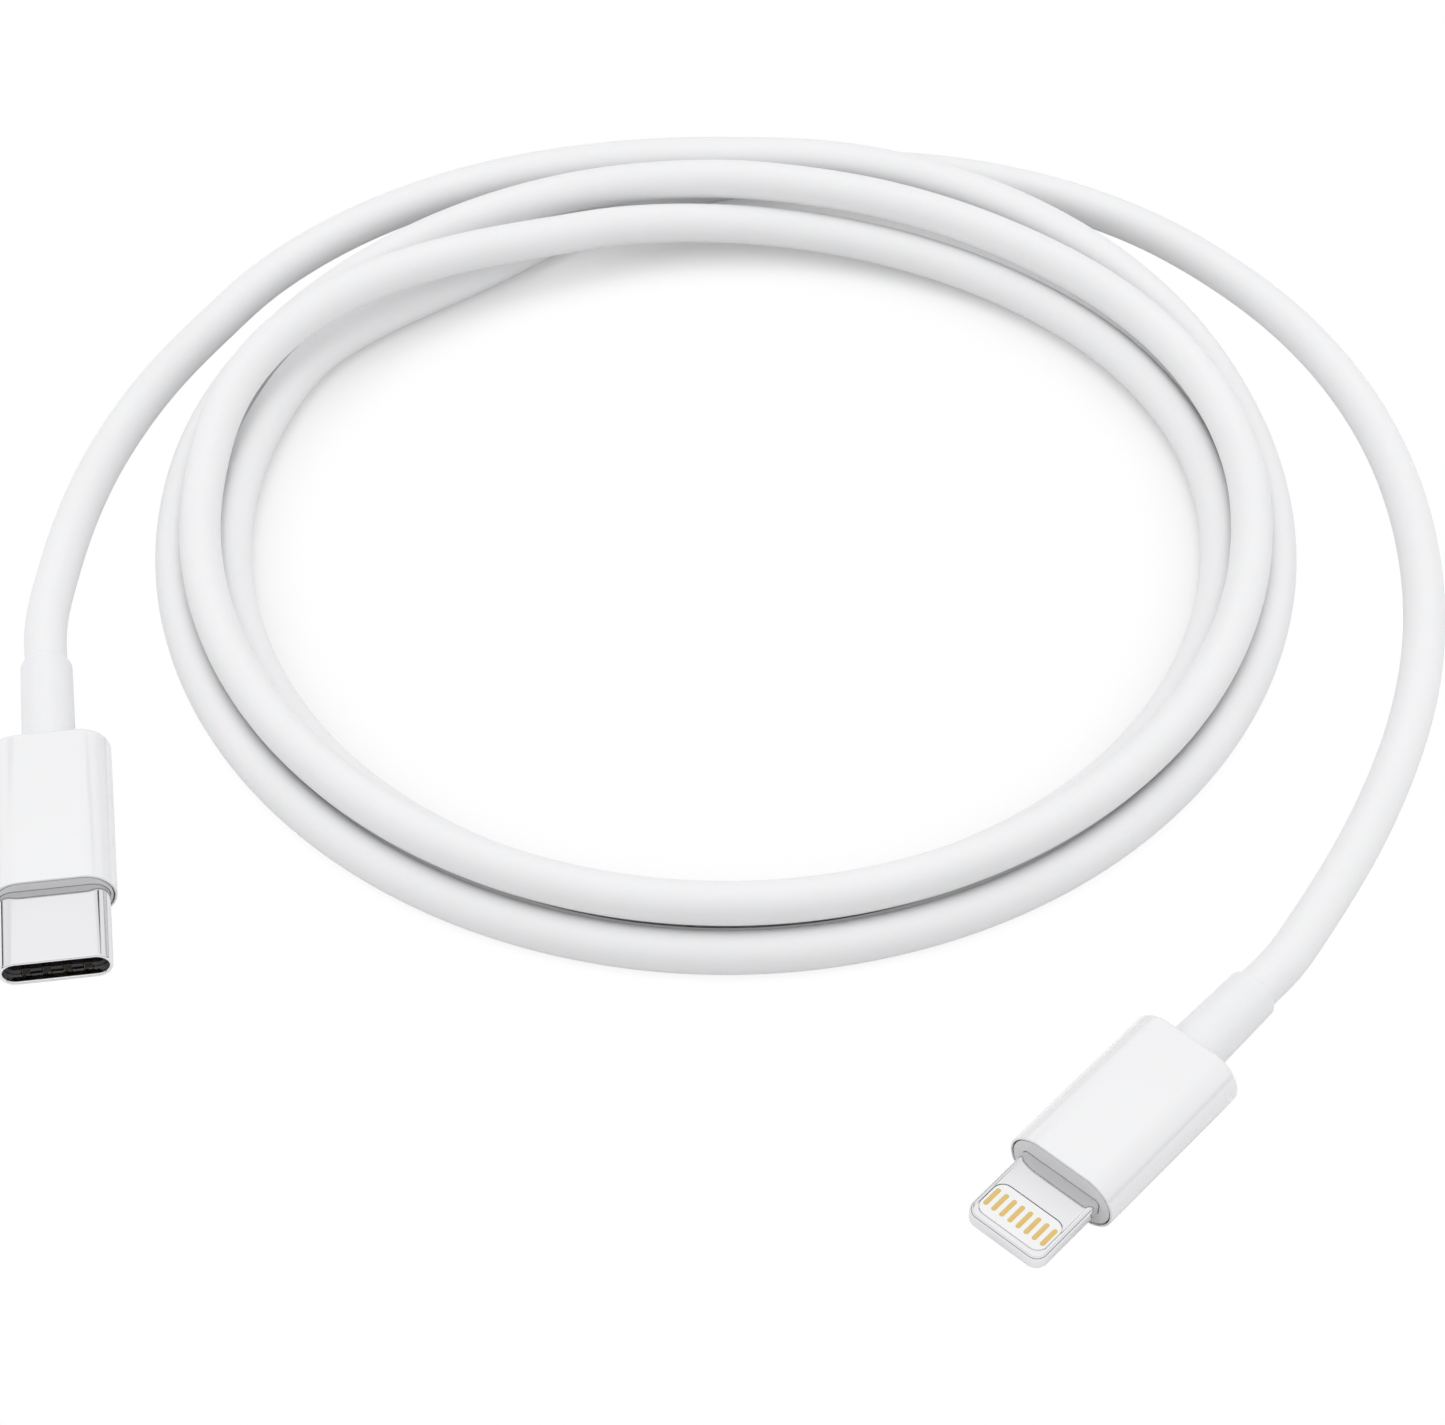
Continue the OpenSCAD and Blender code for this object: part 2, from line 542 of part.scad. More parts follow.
// The white carrier: it fills the window, and a flat spine takes the contacts back to the board
module tab_insulator() {
    lid = tab_t / 2 - 0.03;
    pad_back = window_x - pad_len / 2;
    leg_span = [-leg_w / 2 - slack, leg_w / 2 + slack];
    color([0.95, 0.95, 0.94]) at_tab() difference() {
        union() {
            translate([window_x, 0, -lid]) linear_extrude(2 * lid)
                round_rect(window_len - 2 * fit, window_w - 2 * fit, window_r - fit);
            block([-tab_in + fit, window_x], [-spine_w / 2, spine_w / 2], [-spine_h / 2, spine_h / 2]);
        }
        for (i = [0 : tab_count - 1], s = [0, 1]) mirror([0, 0, s]) translate([0, tab_contact_y(i), 0]) {
            block([-tab_in - 1, pad_back + pad_t + 0.23], leg_span, [leg_z - slack, leg_z + pad_t + slack]);
            block([-tab_in - 1, window_x - window_len / 2], leg_span, [leg_z, tab_t]);
            block([pad_back + 0.2 - slack, pad_back + 0.2 + pad_t + slack], leg_span, [leg_z, tab_t]);
            translate([window_x, 0, pad_top - pad_t - slack]) linear_extrude(tab_t)
                stadium(pad_len + 2 * slack, pad_w + 2 * slack, pad_fine);
        }
    }
}

// Eight pads, each with a leg down through the carrier and back to the board
module tab_contact_row() {
    riser = window_x - pad_len / 2 + 0.2;
    color(gold) for (i = [0 : tab_count - 1]) translate([0, tab_contact_y(i), 0]) {
        translate([window_x, 0, pad_top - pad_t]) linear_extrude(pad_t)
            stadium(pad_len, pad_w, pad_fine);
        block([riser, riser + pad_t], [-leg_w / 2, leg_w / 2], [leg_z + pad_t / 2, pad_top - pad_t / 2]);
        block([tab_tail, riser + pad_t], [-leg_w / 2, leg_w / 2], [leg_z, leg_z + pad_t]);
    }
}
module tab_contacts_upper() { at_tab() tab_contact_row(); }
module tab_contacts_lower() { at_tab() mirror([0, 0, 1]) tab_contact_row(); }

module tab_front_plate() {
    at_tab() front_plate(tab_housing_w, tab_housing_h)
        round_rect(tab_w + 2 * fit, tab_t + 2 * fit, tab_edge_r + fit);
}
module tab_board() { at_tab() board(tab_board_w, tab_board_t, tab_housing_len, -tab_in - fit); }
module tab_chips() { at_tab() chips(tab_board_w, tab_board_t, tab_housing_len, tab_tail); }
module tab_wire_red() { at_tab() wire(tab_housing_len, tab_tail, tab_board_t, 1, 1, "red"); }
module tab_wire_white() { at_tab() wire(tab_housing_len, tab_tail, tab_board_t, -1, 1, "white"); }
module tab_wire_green() { at_tab() wire(tab_housing_len, tab_tail, tab_board_t, 1, -1, "green"); }
module tab_wire_black() { at_tab() wire(tab_housing_len, tab_tail, tab_board_t, -1, -1, "black"); }
module tab_shield_can() { at_tab() shield_can(tab_housing_w, tab_housing_h, tab_housing_len, -tab_in); }
module tab_inner_mould() {
    at_tab() inner_mould(tab_housing_w, tab_housing_h, tab_housing_len, tab_tail, tab_board_w, tab_board_t);
}
module tab_core_end() { at_tab() core_end(tab_housing_len); }
module tab_crimp_ring() { at_tab() crimp_ring(tab_housing_len); }
module tab_housing() { at_tab() housing(tab_housing_w, tab_housing_h, tab_housing_len); }
module tab_strain_relief() {
    at_tab() strain_relief(tab_housing_h, tab_housing_len, tab_relief_len, tab_relief_d);
}

// ---------------------------------------------------------------- the pieces, one at a time or together
oval_shell();
oval_insulator();
oval_contacts_upper();
oval_contacts_lower();
oval_side_latches();
oval_ground_springs();
oval_front_plate();
oval_board();
oval_chips();
oval_wire_red();
oval_wire_white();
oval_wire_green();
oval_wire_black();
oval_shield_can();
oval_inner_mould();
oval_core_end();
oval_crimp_ring();
oval_housing();
oval_strain_relief();
tab_frame();
tab_insulator();
tab_contacts_upper();
tab_contacts_lower();
tab_front_plate();
tab_board();
tab_chips();
tab_wire_red();
tab_wire_white();
tab_wire_green();
tab_wire_black();
tab_shield_can();
tab_inner_mould();
tab_core_end();
tab_crimp_ring();
tab_housing();
tab_strain_relief();
cord_lead_oval();
cord_coil();
cord_lead_tab();
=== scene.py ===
"""Charging cable: an oval plug and a tab plug on a soft white cord that lies wound in three turns.

Lengths are in millimetres, angles in degrees. Each plug is modelled along its own +X, with its
front face at x = 0 and its axis at z = 0, and is then set in its place on the surface z = 0.
"""
import json
import math

import bmesh
import bpy
import numpy as np
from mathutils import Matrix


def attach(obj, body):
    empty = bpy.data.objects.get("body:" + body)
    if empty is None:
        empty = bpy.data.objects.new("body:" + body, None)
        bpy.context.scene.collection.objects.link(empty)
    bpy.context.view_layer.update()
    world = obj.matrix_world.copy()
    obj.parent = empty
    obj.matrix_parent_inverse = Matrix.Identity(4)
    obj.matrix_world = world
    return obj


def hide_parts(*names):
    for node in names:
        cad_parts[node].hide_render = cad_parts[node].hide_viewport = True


MM = 0.001

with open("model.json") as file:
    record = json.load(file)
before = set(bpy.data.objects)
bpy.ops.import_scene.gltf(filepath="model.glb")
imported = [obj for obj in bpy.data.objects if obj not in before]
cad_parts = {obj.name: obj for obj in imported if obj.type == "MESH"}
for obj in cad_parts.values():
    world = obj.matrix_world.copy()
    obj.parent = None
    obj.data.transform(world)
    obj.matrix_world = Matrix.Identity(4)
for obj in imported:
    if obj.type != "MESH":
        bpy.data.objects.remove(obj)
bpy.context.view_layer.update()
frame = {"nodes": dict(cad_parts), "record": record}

# ---------------------------------------------------------------- sizes, as in the CAD model
CORD_D = 3.3
OVAL = {"at": (-41.4, 4.4), "turn": -82.3, "w": 9.4, "t": 4.8, "len": 14.6, "relief": 8.6, "relief_d": 4.1}
TAB = {"at": (31.6, -20.8), "turn": 228.0, "w": 9.1, "t": 5.0, "len": 14.6, "relief": 7.7, "relief_d": 4.3}
REAR_WALL = 0.8
NECK_IN = 0.6
REAR_EDGE_R = 0.4
PLATE_T = 0.8
PLATE_RIM = 0.18
PLATE_GAP = 0.12
FINE_GAP = 0.03
SHELL_W, SHELL_H, SHELL_WALL, SHELL_OUT, SHELL_IN = 8.34, 2.56, 0.3, 6.65, 5.0
TAB_W, TAB_T, TAB_OUT, TAB_CORNER_R, TAB_EDGE_R = 6.7, 1.5, 6.6, 1.0, 0.4
TAB_COUNT, TAB_PITCH, PAD_W, PAD_LEN = 8, 0.72, 0.38, 1.75
WINDOW_W, WINDOW_LEN, WINDOW_R = TAB_COUNT * TAB_PITCH + 0.14, 3.1, 0.9
WINDOW_X = TAB_OUT - 0.55 - WINDOW_LEN / 2
RELIEF_TIP_D = 4.0

# ---------------------------------------------------------------- the cord's route, as in the CAD model
COIL_AT = (8.3, 43.5)
COIL_R = 44.1
LANE = 2.2
GAP = 0.46
DRAW_IN = 4.2
FLATTENED = 1 - 1.3 / 2 / COIL_R
FLOOR_Z = CORD_D / 2
LIFT = math.sqrt((CORD_D + GAP) ** 2 - LANE ** 2)
HOP = CORD_D + GAP + 0.15
MID_R, INNER_R, CROSSING_R = COIL_R - LANE, COIL_R - 2 * LANE, COIL_R - DRAW_IN
COIL_FROM, COIL_TO = 150, 45 - 3 * 360
# One row for each pass over the far side: the radius before, on and after the pass, the angles at which it
# starts and ends its first change and its second, then the same for the height of the cord's middle
PASSES = np.array((
    (COIL_R + 4.9, CROSSING_R, COIL_R, 150, 84, 111, 28, 0, HOP, 0, 150, 90, 87, 1),
    (COIL_R, CROSSING_R - 3.7, MID_R, 171, 75, 101, 1, 0, HOP + 0.8, LIFT, 172, 85, 93, 43),
    (MID_R, CROSSING_R - 6.1, INNER_R, 170, 111, 102, 1, LIFT, HOP + 0.9, 0, 180, 152, 149, 40),
    (INNER_R, INNER_R - DRAW_IN, COIL_R + 9.9, 155, 119, 144, 9, 0, 0, 0, 150, 90, 90, 0),
))
# Free stretches: x, y and the height above the lowest place where the cord can lie
OVAL_ROUTE = [(-44.9, 36.6, 0.3), (-44.3, 42.4, 0.05), (-43.0, 48.8, 0), (-40.8, 55.4, 0), (-38.3, 60.8, 0)]
TAB_ROUTE = [(50.6, 73.3, 0), (54.7, 68.5, 0), (58.0, 63.3, 0), (61.1, 56.2, 0), (63.0, 48.5, 0),
             (63.7, 40.6, 0), (63.3, 32.8, 0), (61.7, 24.8, 0), (58.8, 16.6, 0), (55.0, 8.7, 0.1),
             (50.7, 1.3, 0.45)]
# How finely the cord is drawn: degrees along the turns, millimetres along the line, and points round it
TURN_STEP, LINE_STEP, CORD_SIDES = 5.0, 0.8, 36


# ---------------------------------------------------------------- camera
LENS, SENSOR = 98.76, 36.0
CAMERA_AT = (8.03, -177.4, 232.6)
LOOKS_DOWN = 49


def make_camera():
    """A long lens in front of the object and above it, turned down from level to look along +Y."""
    data = bpy.data.cameras.new("camera")
    data.lens, data.sensor_width = LENS, SENSOR
    data.clip_start, data.clip_end = 0.01, 20.0
    camera = bpy.data.objects.new("camera", data)
    camera.location = [c * MM for c in CAMERA_AT]
    camera.rotation_euler = (math.radians(90 - LOOKS_DOWN), 0, 0)
    bpy.context.scene.collection.objects.link(camera)
    bpy.context.scene.camera = camera


# ---------------------------------------------------------------- materials
def add(tree, kind, **values):
    """A new shader node; keys that name one of its properties set that, the others set its inputs."""
    node = tree.nodes.new(kind)
    for key, value in values.items():
        if hasattr(node, key):
            setattr(node, key, value)
        else:
            node.inputs[key.replace("_", " ")].default_value = value
    return node


def make_grain_group():
    """The grain that every finish has: broad soft mottling in the colour, fine grain in roughness and height.

    The colour runs from Darkest times Colour up to Colour with a broad noise. A fine noise, drawn
    out by Stretch, runs the roughness from Smoothest to Roughest and is put out as Height.
    """
    group = bpy.data.node_groups.new("surface_grain", "ShaderNodeTree")
    for name, kind in (("Colour", "NodeSocketColor"), ("Darkest", "NodeSocketFloat"),
                       ("Broad scale", "NodeSocketFloat"), ("Fine scale", "NodeSocketFloat"),
                       ("Stretch", "NodeSocketVector"), ("Smoothest", "NodeSocketFloat"),
                       ("Roughest", "NodeSocketFloat")):
        group.interface.new_socket(name, in_out="INPUT", socket_type=kind)
    for name, kind in (("Colour", "NodeSocketColor"), ("Roughness", "NodeSocketFloat"),
                       ("Height", "NodeSocketFloat")):
        group.interface.new_socket(name, in_out="OUTPUT", socket_type=kind)
    link = group.links.new
    given = add(group, "NodeGroupInput").outputs
    result = add(group, "NodeGroupOutput").inputs
    place = add(group, "ShaderNodeTexCoord").outputs["Object"]
    broad = add(group, "ShaderNodeTexNoise", Detail=3.0)
    link(place, broad.inputs["Vector"])
    link(given["Broad scale"], broad.inputs["Scale"])
    share = add(group, "ShaderNodeMapRange")
    link(broad.outputs["Fac"], share.inputs["Value"])
    link(given["Darkest"], share.inputs["To Min"])
    tone = add(group, "ShaderNodeVectorMath", operation="SCALE")
    link(given["Colour"], tone.inputs[0])
    link(share.outputs["Result"], tone.inputs["Scale"])
    link(tone.outputs["Vector"], result["Colour"])
    drawn = add(group, "ShaderNodeMapping")
    link(place, drawn.inputs["Vector"])
    link(given["Stretch"], drawn.inputs["Scale"])
    fine = add(group, "ShaderNodeTexNoise", Detail=4.0)
    link(drawn.outputs["Vector"], fine.inputs["Vector"])
    link(given["Fine scale"], fine.inputs["Scale"])
    rough = add(group, "ShaderNodeMapRange")
    link(fine.outputs["Fac"], rough.inputs["Value"])
    link(given["Smoothest"], rough.inputs["To Min"])
    link(given["Roughest"], rough.inputs["To Max"])
    link(rough.outputs["Result"], result["Roughness"])
    link(fine.outputs["Fac"], result["Height"])
    return group


def grained(name, colour, roughness, metallic=0.0, shade=0.96, broad=90.0, fine=2600.0, bump=0.004,
            stretch=(1, 1, 1), rough_spread=0.06, coat=0.0, coat_roughness=0.05, specular=0.5,
            subsurface=0.0):
    """A finish with the shared grain. broad and fine are noise scales per metre, bump is in millimetres."""
    material = bpy.data.materials.new(name)
    material.use_nodes = True
    tree = material.node_tree
    shader = tree.nodes["Principled BSDF"]
    shader.inputs["Metallic"].default_value = metallic
    shader.inputs["Specular IOR Level"].default_value = specular
    shader.inputs["Coat Weight"].default_value = coat
    shader.inputs["Coat Roughness"].default_value = coat_roughness
    shader.inputs["Subsurface Weight"].default_value = subsurface
    shader.inputs["Subsurface Scale"].default_value = 0.6 * MM
    grain = add(tree, "ShaderNodeGroup", node_tree=GRAIN)
    for key, value in (("Colour", (*colour, 1)), ("Darkest", shade), ("Broad scale", broad),
                       ("Fine scale", fine), ("Stretch", stretch),
                       ("Smoothest", max(0.02, roughness - rough_spread / 2)),
                       ("Roughest", roughness + rough_spread / 2)):
        grain.inputs[key].default_value = value
    relief = add(tree, "ShaderNodeBump", Strength=1.0, Distance=bump * MM)
    for output, target in (("Colour", shader.inputs["Base Color"]), ("Roughness", shader.inputs["Roughness"]),
                           ("Height", relief.inputs["Height"])):
        tree.links.new(grain.outputs[output], target)
    tree.links.new(relief.outputs["Normal"], shader.inputs["Normal"])
    return material


GRAIN = make_grain_group()
MATERIALS = {
    "jacket_white": grained("soft_jacket", (0.87, 0.87, 0.875), 0.5, fine=3200, bump=0.006, subsurface=0.1,
                            specular=0.4),
    "gloss_white": grained("gloss_housing", (0.86, 0.86, 0.865), 0.18, shade=0.98, broad=60, fine=500,
                           bump=0.0015, coat=1.0, coat_roughness=0.04, subsurface=0.05),
    "relief_white": grained("satin_relief", (0.86, 0.86, 0.87), 0.38, fine=2800, bump=0.005, subsurface=0.1),
    "plate_grey": grained("satin_plate", (0.76, 0.76, 0.765), 0.42, shade=0.93, fine=3600, bump=0.004),
    "polished_steel": grained("polished_shell", (0.86, 0.86, 0.875), 0.09, metallic=1.0, shade=0.95,
                              fine=900, bump=0.0006, stretch=(0.15, 3, 3), rough_spread=0.05),
    "spring_steel": grained("spring_sheet", (0.88, 0.86, 0.80), 0.5, metallic=0.5, shade=0.85, fine=2000,
                            bump=0.001),
    # Painted shade: the earth springs in the oval plug's mouth are pale steel, and this near black colour
    # stands in for the shade deep inside the mouth.
    "dark_steel": grained("painted_shade_sheet", (0.05, 0.05, 0.052), 0.35, metallic=0.9, shade=0.8, fine=2000,
                          bump=0.001),
    "can_steel": grained("tinned_can", (0.62, 0.62, 0.64), 0.34, metallic=1.0, shade=0.8, fine=1500,
                         bump=0.003),
    "crimp_steel": grained("crimp_sheet", (0.66, 0.66, 0.67), 0.28, metallic=1.0, shade=0.8, fine=1800,
                           bump=0.004),
    "gold": grained("gold_plate", (0.83, 0.60, 0.21), 0.3, metallic=0.85, shade=0.9, broad=400, fine=4000,
                    bump=0.001),
    "braid_copper": grained("copper_braid", (0.66, 0.36, 0.2), 0.35, metallic=1.0, shade=0.6, fine=5200,
                            bump=0.05, stretch=(1, 2.4, 2.4)),
    "carrier_white": grained("carrier_plastic", (0.88, 0.88, 0.87), 0.36, shade=0.97, fine=3400, bump=0.003),
    "liner_black": grained("liner_plastic", (0.022, 0.022, 0.024), 0.42, shade=0.7, fine=3800, bump=0.004),
    "mould_ivory": grained("sealing_plastic", (0.72, 0.70, 0.60), 0.5, shade=0.9, fine=1200, bump=0.01),
    "board_green": grained("board_lacquer", (0.02, 0.16, 0.07), 0.3, shade=0.7, broad=900, fine=5000,
                           bump=0.004),
    "chip_black": grained("chip_epoxy", (0.025, 0.025, 0.028), 0.55, shade=0.8, fine=4200, bump=0.006),
    "wire_red": grained("wire_skin_red", (0.6, 0.03, 0.03), 0.36, shade=0.9, bump=0.003),
    "wire_white": grained("wire_skin_white", (0.85, 0.85, 0.85), 0.36, shade=0.95, bump=0.003),
    "wire_green": grained("wire_skin_green", (0.03, 0.36, 0.08), 0.36, shade=0.9, bump=0.003),
    "wire_black": grained("wire_skin_black", (0.02, 0.02, 0.02), 0.36, shade=0.9, bump=0.003),
}


# ---------------------------------------------------------------- meshes
def placed(points, plug):
    """Points from a plug's own frame to the shared one: turned about Z, then moved to the plug's place."""
    p = np.asarray(points, float).reshape(-1, 3)
    c, s = math.cos(math.radians(plug["turn"])), math.sin(math.radians(plug["turn"]))
    return np.column_stack((plug["at"][0] + c * p[:, 0] - s * p[:, 1],
                            plug["at"][1] + s * p[:, 0] + c * p[:, 1], plug["t"] / 2 + p[:, 2]))


def piece(name, forms, finish, replaces, sharp=40):
    """One mesh of several closed forms, each given as points in the shared frame and faces."""
    starts = np.cumsum([0] + [len(points) for points, _ in forms])
    faces = [(face + start).tolist()
             for (_, form_faces), start in zip(forms, starts) for face in form_faces]
    mesh = bpy.data.meshes.new(name)
    mesh.from_pydata(np.vstack([points for points, _ in forms]) * MM, [], faces)
    shape = bmesh.new()
    shape.from_mesh(mesh)
    bmesh.ops.recalc_face_normals(shape, faces=shape.faces)
    shape.to_mesh(mesh)
    shape.free()
    mesh.shade_smooth()
    mesh.set_sharp_from_angle(angle=math.radians(sharp))
    mesh.materials.append(MATERIALS[finish])
    made = bpy.data.objects.new(name, mesh)
    bpy.context.scene.collection.objects.link(made)
    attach(made, "root")
    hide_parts(*replaces)
    return made


def loft(rings, loop=False):
    """A skin over rings of n points: point k of ring i, numbered i n + k, is joined to points k and k + 1 of
    the next ring by one quad. Both ends get a cap, unless the last ring joins the first."""
    count, n = rings.shape[:2]
    start = n * np.arange(count if loop else count - 1)[:, None]
    after = (start + n) % (count * n)
    here = np.arange(n)[None, :]
    ahead = (here + 1) % n
    faces = list(np.stack((start + here, start + ahead, after + ahead, after + here), axis=-1).reshape(-1, 4))
    if not loop:
        faces += [np.arange(n), np.arange((count - 1) * n, count * n)]
    return rings.reshape(-1, 3), faces


def slot_guide(n=28, straight=10):
    """A slot outline, anticlockwise: where each point stands on the slot's middle line, from -1 to 1, and
    its direction from there. The ends are half circles and the sides are straight."""
    end = np.linspace(-math.pi / 2, math.pi / 2, n)
    side = np.linspace(-1, 1, straight + 2)[1:-1]
    stand = np.concatenate((np.ones(n), side[::-1], -np.ones(n), side))
    quarter = np.full(straight, math.pi / 2)
    angle = np.concatenate((end, quarter, end + math.pi, -quarter))
    return stand, np.cos(angle), np.sin(angle)


def slot_outline(w, t, n=28, straight=10):
    """A slot w wide and t high: the middle line's point (w - t) / 2 times stand, plus t / 2 times the
    direction."""
    stand, across, up = slot_guide(n, straight)
    return np.column_stack(((w - t) / 2 * stand + t / 2 * across, t / 2 * up))


def slot_rings(w, t, profile):
    """A slot-shaped body along X. profile lists (x, inset): the slot outline stands at x, and its radius
    t / 2 is less by the inset."""
    x, inset = np.asarray(profile, float).T[:, :, None]
    stand, across, up = slot_guide()
    r = t / 2 - inset
    return np.stack(np.broadcast_arrays(x, (w - t) / 2 * stand + r * across, r * up), axis=-1)


def lathe(profile, n=64):
    """A body turned about X. profile lists (x, r): a point is (x, r cos a, r sin a) for n angles a."""
    x, r = np.asarray(profile, float).T[:, :, None]
    a = np.radians(np.arange(n) * 360 / n)
    return np.stack(np.broadcast_arrays(x, r * np.cos(a), r * np.sin(a)), axis=-1)


def quarter_round(r, steps):
    """A quarter circle at angles a from 0 to 90: how far it has sunk, r sin a, and come in, r - r cos a."""
    a = np.radians(np.linspace(0, 90, steps))
    return r * np.sin(a), r - r * np.cos(a)


def round_box(x0, x1, w, r_front, r_back, inset=0.0, n=14):
    """A rectangle in X and Y with round corners: each corner's centre, plus its radius less the inset in
    the directions of its quarter circle. The centres stay, so that a negative inset widens the box."""
    r = np.array((r_front, r_front, r_back, r_back))[:, None]
    end = np.array((1, 1, -1, -1))[:, None]
    side = np.array((-1, 1, 1, -1))[:, None]
    a = np.radians(np.array((-90, 0, 90, 180))[:, None] + np.linspace(0, 90, n))
    reach = np.maximum(r - inset, 0.001)
    x = np.where(end > 0, x1, x0) - end * r + reach * np.cos(a)
    y = side * (w / 2 - r) + reach * np.sin(a)
    return np.column_stack((x.ravel(), y.ravel()))


def level(outline, z):
    """An outline in X and Y at the height z."""
    return np.column_stack((outline, np.full(len(outline), z)))


# ---------------------------------------------------------------- the cord
def ease(a, b, at):
    """0 before a, 1 after b, and between them u u (3 - 2 u), where u is the share of the way."""
    u = np.clip((at - a) / (b - a), 0, 1)
    return u * u * (3 - 2 * u)


def coil_points(angle):
    """The coil's middle line at the given angles, which fall by 360 a turn. Within a pass, the radius is
    r0 + (r1 - r0) ease + (r2 - r1) ease, each over its own angles, and so is the height."""
    number = np.clip(np.floor((180 - angle) / 360 + 0.0001), 0, len(PASSES) - 1).astype(int)
    at = angle + 360 * number
    r0, r1, r2, ra, rb, rc, rd, z0, z1, z2, za, zb, zc, zd = PASSES[number].T
    r = r0 + (r1 - r0) * ease(ra, rb, at) + (r2 - r1) * ease(rc, rd, at)
    z = z0 + (z1 - z0) * ease(za, zb, at) + (z2 - z1) * ease(zc, zd, at)
    a = np.radians(angle)
    return np.column_stack((COIL_AT[0] + r * np.cos(a), COIL_AT[1] + FLATTENED * r * np.sin(a),
                            FLOOR_Z + z))


def plug_exit(plug):
    """Points on a plug's axis: in the housing, at the strain relief's end, and one diameter on."""
    tip = -plug["len"] - plug["relief"]
    xs = (-plug["len"] + REAR_WALL + NECK_IN, tip, tip - CORD_D)
    return placed([(x, 0, 0) for x in xs], plug)


def smooth_line(keys, step):
    """A natural cubic spline through the key points, with a point about every step along it. On a span of
    length h with the shares a and b = 1 - a of its two ends, a point is a times the first key plus b times
    the second, plus h h / 6 times (a a a - a) first bend + (b b b - b) second bend."""
    t = np.concatenate(([0], np.cumsum(np.linalg.norm(np.diff(keys, axis=0), axis=1))))
    h = np.diff(t)
    inside = np.arange(1, len(keys) - 1)
    system, right = np.eye(len(keys)), np.zeros(keys.shape)
    system[inside, inside - 1], system[inside, inside + 1] = h[:-1], h[1:]
    system[inside, inside] = 2 * (h[:-1] + h[1:])
    right[1:-1] = 6 * np.diff(np.diff(keys, axis=0) / h[:, None], axis=0)
    bend = np.linalg.solve(system, right)
    at = np.linspace(0, t[-1], int(t[-1] / step) + 1)
    i = np.clip(np.searchsorted(t, at) - 1, 0, len(h) - 1)
    a, b = ((t[i + 1] - at) / h[i])[:, None], ((at - t[i]) / h[i])[:, None]
    return (a * keys[i] + b * keys[i + 1]
            + ((a ** 3 - a) * bend[i] + (b ** 3 - b) * bend[i + 1]) * h[i][:, None] ** 2 / 6)


def cord_line():
    """The cord's middle line from plug to plug, nowhere lower than the cord can lie."""
    turns = coil_points(np.arange(COIL_FROM, COIL_TO - 1, -TURN_STEP))
    lying = [np.asarray(route) + (0, 0, FLOOR_Z) for route in (OVAL_ROUTE, TAB_ROUTE)]
    keys = np.vstack((plug_exit(OVAL), lying[0], turns, lying[1], plug_exit(TAB)[::-1]))
    line = smooth_line(keys, LINE_STEP)
    line[:, 2] = np.maximum(line[:, 2], FLOOR_Z)
    return line


def make_cord():
    """A round tube: at each point of the middle line, the radius times (sin a side - cos a up), where side
    and up are square to the line and side is level."""
    line = cord_line()
    ahead = np.gradient(line, axis=0)
    side = np.cross(ahead, (0, 0, 1))
    up = np.cross(side, ahead)
    side /= np.linalg.norm(side, axis=1)[:, None]
    up /= np.linalg.norm(up, axis=1)[:, None]
    a = np.radians(np.arange(CORD_SIDES) * 360 / CORD_SIDES)[:, None]
    rings = line[:, None] + CORD_D / 2 * (np.sin(a) * side[:, None] - np.cos(a) * up[:, None])
    nodes = ("cord_lead_oval", "cord_coil", "cord_lead_tab")
    return piece("cord", [loft(rings)], "jacket_white", nodes, sharp=60), line


# ---------------------------------------------------------------- parts that both plugs share
def make_housing(name, plug, node):
    """A slot-shaped body with a thin rim in front. The slot outline is drawn in along a fine quarter circle
    at the front edge and along a larger one at the back."""
    edge, rim_edge, pole = 0.1, 0.02, 0.05
    sunk, come_in = quarter_round(edge, 6)
    front = np.column_stack((sunk - edge, come_in))[::-1]
    sunk, come_in = quarter_round(REAR_EDGE_R, 10)
    back = np.column_stack((REAR_EDGE_R - plug["len"] - sunk, come_in))
    profile = np.vstack(((-PLATE_T, PLATE_RIM), (-rim_edge, PLATE_RIM), (0, PLATE_RIM - rim_edge),
                         front, back, (-plug["len"], plug["t"] / 2 - pole)))
    points, faces = loft(slot_rings(plug["w"], plug["t"], profile))
    return piece(name, [(placed(points, plug), faces)], "gloss_white", (node,))


def make_plate(name, plug, hole, node):
    """The flat plate in a housing's front: a slot outline with a fine gap to the rim, carried back by its
    thickness, and a hole of the given outline carried through it."""
    rim, soft, front = PLATE_RIM + PLATE_GAP, 0.03, -0.02
    outside = slot_rings(plug["w"], plug["t"], ((-PLATE_T, rim), (front - soft, rim), (front, rim + soft)))
    inside = [np.insert(hole(grow), 0, x, axis=1)
              for x, grow in ((front, soft), (front - soft, 0), (-PLATE_T, 0))]
    points, faces = loft(np.vstack((outside, inside)), loop=True)
    return piece(name, [(placed(points, plug), faces)], "plate_grey", (node,))


